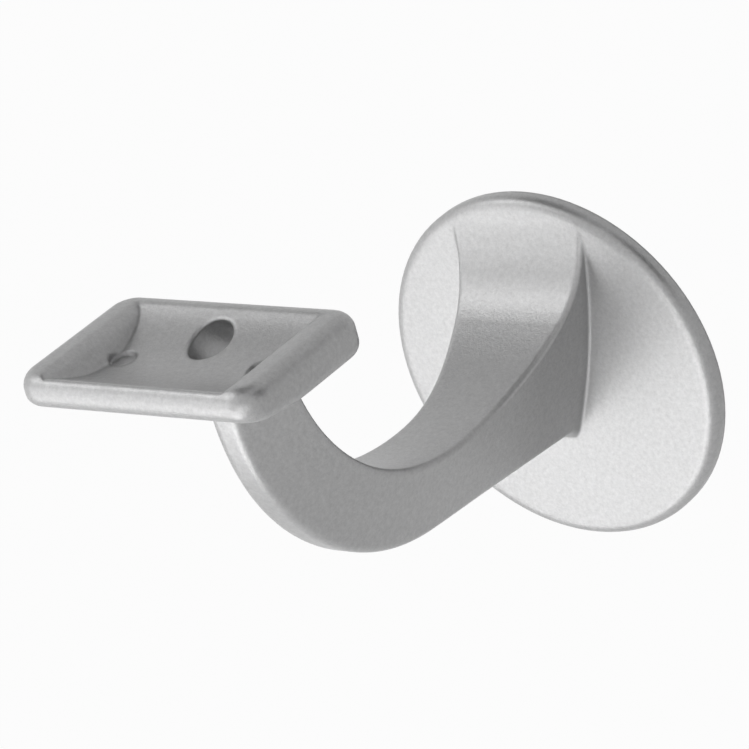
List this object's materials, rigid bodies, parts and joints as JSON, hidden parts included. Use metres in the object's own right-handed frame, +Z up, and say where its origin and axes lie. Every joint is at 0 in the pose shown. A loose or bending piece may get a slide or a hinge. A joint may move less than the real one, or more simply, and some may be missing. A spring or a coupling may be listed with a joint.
{
  "type": "handrail bracket",
  "caption": "Wall-mounted handrail bracket: a round plate, a curved tapering arm and a saddle that holds a round rail.",
  "frame": {"origin": "middle of the wall plate's back, in the plane of the wall", "axes": "+Z up, +Y into the wall, the bracket reaches out along -Y and the rail runs along X"},
  "size_m": [0.06, 0.0955, 0.0758],
  "materials": {
    "cast_metal": "satin"
  },
  "bodies": {
    "root": {"handrail_bracket": "cast_metal"}
  },
  "joints": []
}
